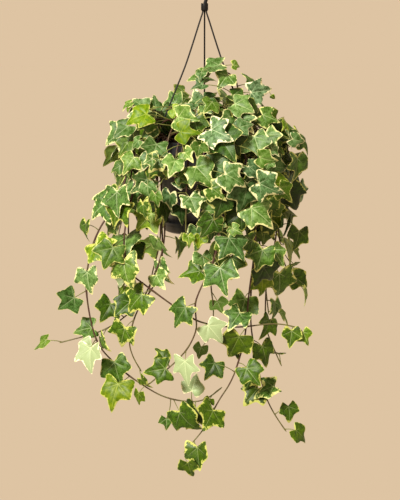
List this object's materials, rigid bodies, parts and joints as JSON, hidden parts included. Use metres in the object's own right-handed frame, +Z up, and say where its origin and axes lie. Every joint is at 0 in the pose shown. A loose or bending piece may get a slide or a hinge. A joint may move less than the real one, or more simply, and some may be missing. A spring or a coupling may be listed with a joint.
{
  "type": "hanging potted ivy",
  "caption": "Variegated ivy in a round hanging pot with a drip tray and a hooked hanger; lobed leaves mound over the rim and stems trail below.",
  "frame": {"origin": "seat of the hanger's hook: the middle of the underside of the hook's bend, where it rests on what holds it up", "axes": "+Z up, +X to the right and -Y towards the viewer in the picture"},
  "size_m": [0.3909, 0.3032, 0.7256],
  "materials": {
    "pot_plastic": "satin moulded, charcoal",
    "hanger_plastic": "satin moulded, near black",
    "soil": "coarse peat, matt",
    "ivy_mature": "waxy leaf, grey-green with a cream edge",
    "ivy_pale": "waxy leaf, pale green with a wide cream edge",
    "ivy_young": "soft leaf, lime with a yellow edge"
  },
  "bodies": {
    "root": {"crown_back_1": "ivy_mature", "crown_back_2": "ivy_young", "crown_back_3": "ivy_pale", "crown_back_4": "ivy_mature", "crown_mid_1": "ivy_mature", "crown_mid_2": "ivy_young", "crown_mid_3": "ivy_pale", "crown_mid_4": "ivy_mature", "crown_mid_5": "ivy_mature", "crown_mid_6": "ivy_mature", "crown_mid_7": "ivy_young", "crown_top_1": "ivy_mature", "crown_top_2": "ivy_mature", "crown_top_3": "ivy_mature", "crown_top_4": "ivy_young", "crown_top_5": "ivy_pale", "crown_top_6": "ivy_mature", "crown_top_7": "ivy_mature", "hook_and_collar": "hanger_plastic", "pot": "pot_plastic", "rim_back_1": "ivy_mature", "rim_back_2": "ivy_young", "rim_back_3": "ivy_pale", "rim_back_4": "ivy_mature", "rim_back_5": "ivy_mature", "rim_front_1": "ivy_pale", "rim_front_2": "ivy_mature", "rim_front_3": "ivy_mature", "rim_front_4": "ivy_mature", "rim_front_5": "ivy_young", "rim_front_6": "ivy_pale", "rim_front_7": "ivy_mature", "rim_front_left_1": "ivy_mature", "rim_front_left_2": "ivy_mature", "saucer": "pot_plastic", "soil": "soil", "sprig_left_tip": "ivy_young", "sprig_right_edge": "ivy_mature", "sprig_right_tip": "ivy_young", "sprig_top": "ivy_mature", "strand_back": "hanger_plastic", "strand_left": "hanger_plastic", "strand_right": "hanger_plastic", "trail_back": "ivy_mature", "trail_back_left": "ivy_mature", "trail_back_right": "ivy_pale", "trail_left_far": "ivy_mature", "trail_left_near": "ivy_pale", "trail_left_side": "ivy_mature", "trail_long": "ivy_mature", "trail_loop": "ivy_mature", "trail_middle": "ivy_mature", "trail_right": "ivy_mature", "trail_right_long": "ivy_pale", "trail_right_side": "ivy_mature", "trail_sweep": "ivy_pale"}
  },
  "joints": []
}
